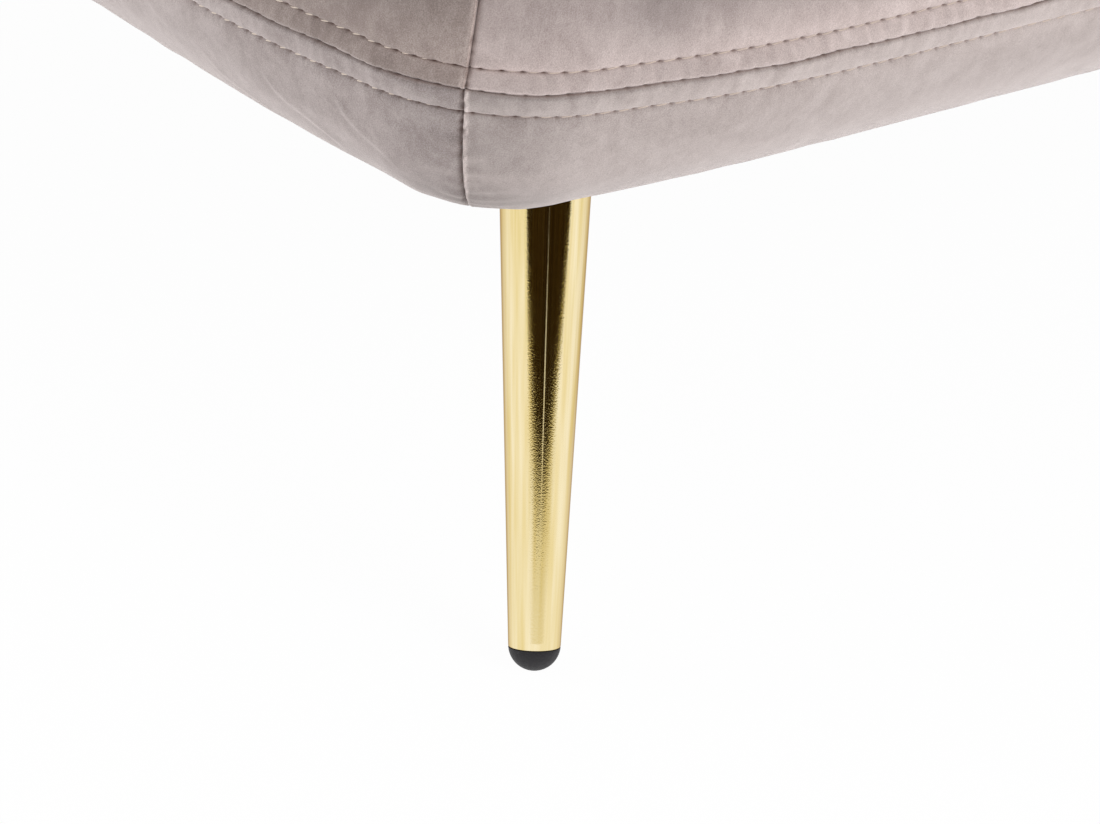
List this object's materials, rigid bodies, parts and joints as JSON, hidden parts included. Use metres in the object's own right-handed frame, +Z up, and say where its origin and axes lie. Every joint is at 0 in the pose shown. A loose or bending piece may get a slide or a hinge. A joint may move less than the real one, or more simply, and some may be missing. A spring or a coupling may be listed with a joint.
{
  "type": "chaise longue",
  "caption": "Velvet chaise longue with a plump seat body, a back sweeping up to the head end, and splayed tapered metal legs.",
  "frame": {"origin": "on the floor, under the middle of the seat body", "axes": "+X along the length towards the head end, +Y towards the rear side, +Z up"},
  "size_m": [1.56, 0.72, 0.7903],
  "materials": {
    "velvet": "dusty pink-taupe velvet with a short nap and self-coloured topstitching",
    "gold_metal": "polished gold-coloured plated steel",
    "black_rubber": "matt black moulded rubber",
    "zinc_steel": "plain zinc-plated steel",
    "timber": "unfinished plywood and softwood",
    "foam": "open-cell upholstery foam",
    "grey_felt": "needled grey felt",
    "webbing": "woven elastic webbing",
    "dust_cloth": "black spun-bonded dust cloth"
  },
  "bodies": {
    "root": {"front_rail": "timber", "rear_rail": "timber", "foot_rail": "timber", "head_rail": "timber", "cross_rail_foot": "timber", "cross_rail_middle": "timber", "cross_rail_head": "timber", "corner_block_front_foot": "timber", "corner_block_rear_foot": "timber", "corner_block_front_head": "timber", "corner_block_rear_head": "timber", "seat_springs": "zinc_steel", "spring_clips": "zinc_steel", "spring_felt": "grey_felt", "border_foam": "foam", "seat_foam": "foam", "front_border": "velvet", "rear_border": "velvet", "foot_border": "velvet", "head_border": "velvet", "front_lower_band": "velvet", "rear_lower_band": "velvet", "foot_lower_band": "velvet", "head_lower_band": "velvet", "seat_top_cover": "velvet", "dust_cover": "dust_cloth", "leg_front_foot": "gold_metal", "leg_rear_foot": "gold_metal", "leg_front_head": "gold_metal", "leg_rear_head": "gold_metal", "leg_stud_front_foot": "zinc_steel", "leg_stud_rear_foot": "zinc_steel", "leg_stud_front_head": "zinc_steel", "leg_stud_rear_head": "zinc_steel", "rubber_foot_front_foot": "black_rubber", "rubber_foot_rear_foot": "black_rubber", "rubber_foot_front_head": "black_rubber", "rubber_foot_rear_head": "black_rubber", "leg_plate_front_foot": "zinc_steel", "leg_plate_rear_foot": "zinc_steel", "leg_plate_front_head": "zinc_steel", "leg_plate_rear_head": "zinc_steel", "plate_screws": "zinc_steel", "back_post_nose": "timber", "back_post_rear": "timber", "back_post_head": "timber", "back_post_front": "timber", "post_screws": "zinc_steel", "back_rear_bottom_rail": "timber", "back_rear_top_rail": "timber", "back_head_bottom_rail": "timber", "back_head_top_rail": "timber", "back_corner_board": "timber", "back_webbing": "webbing", "back_inner_foam": "foam", "back_outer_foam": "foam", "back_inner_cover": "velvet", "back_outer_cover": "velvet", "nose_facing": "velvet", "front_facing": "velvet"}
  },
  "joints": []
}
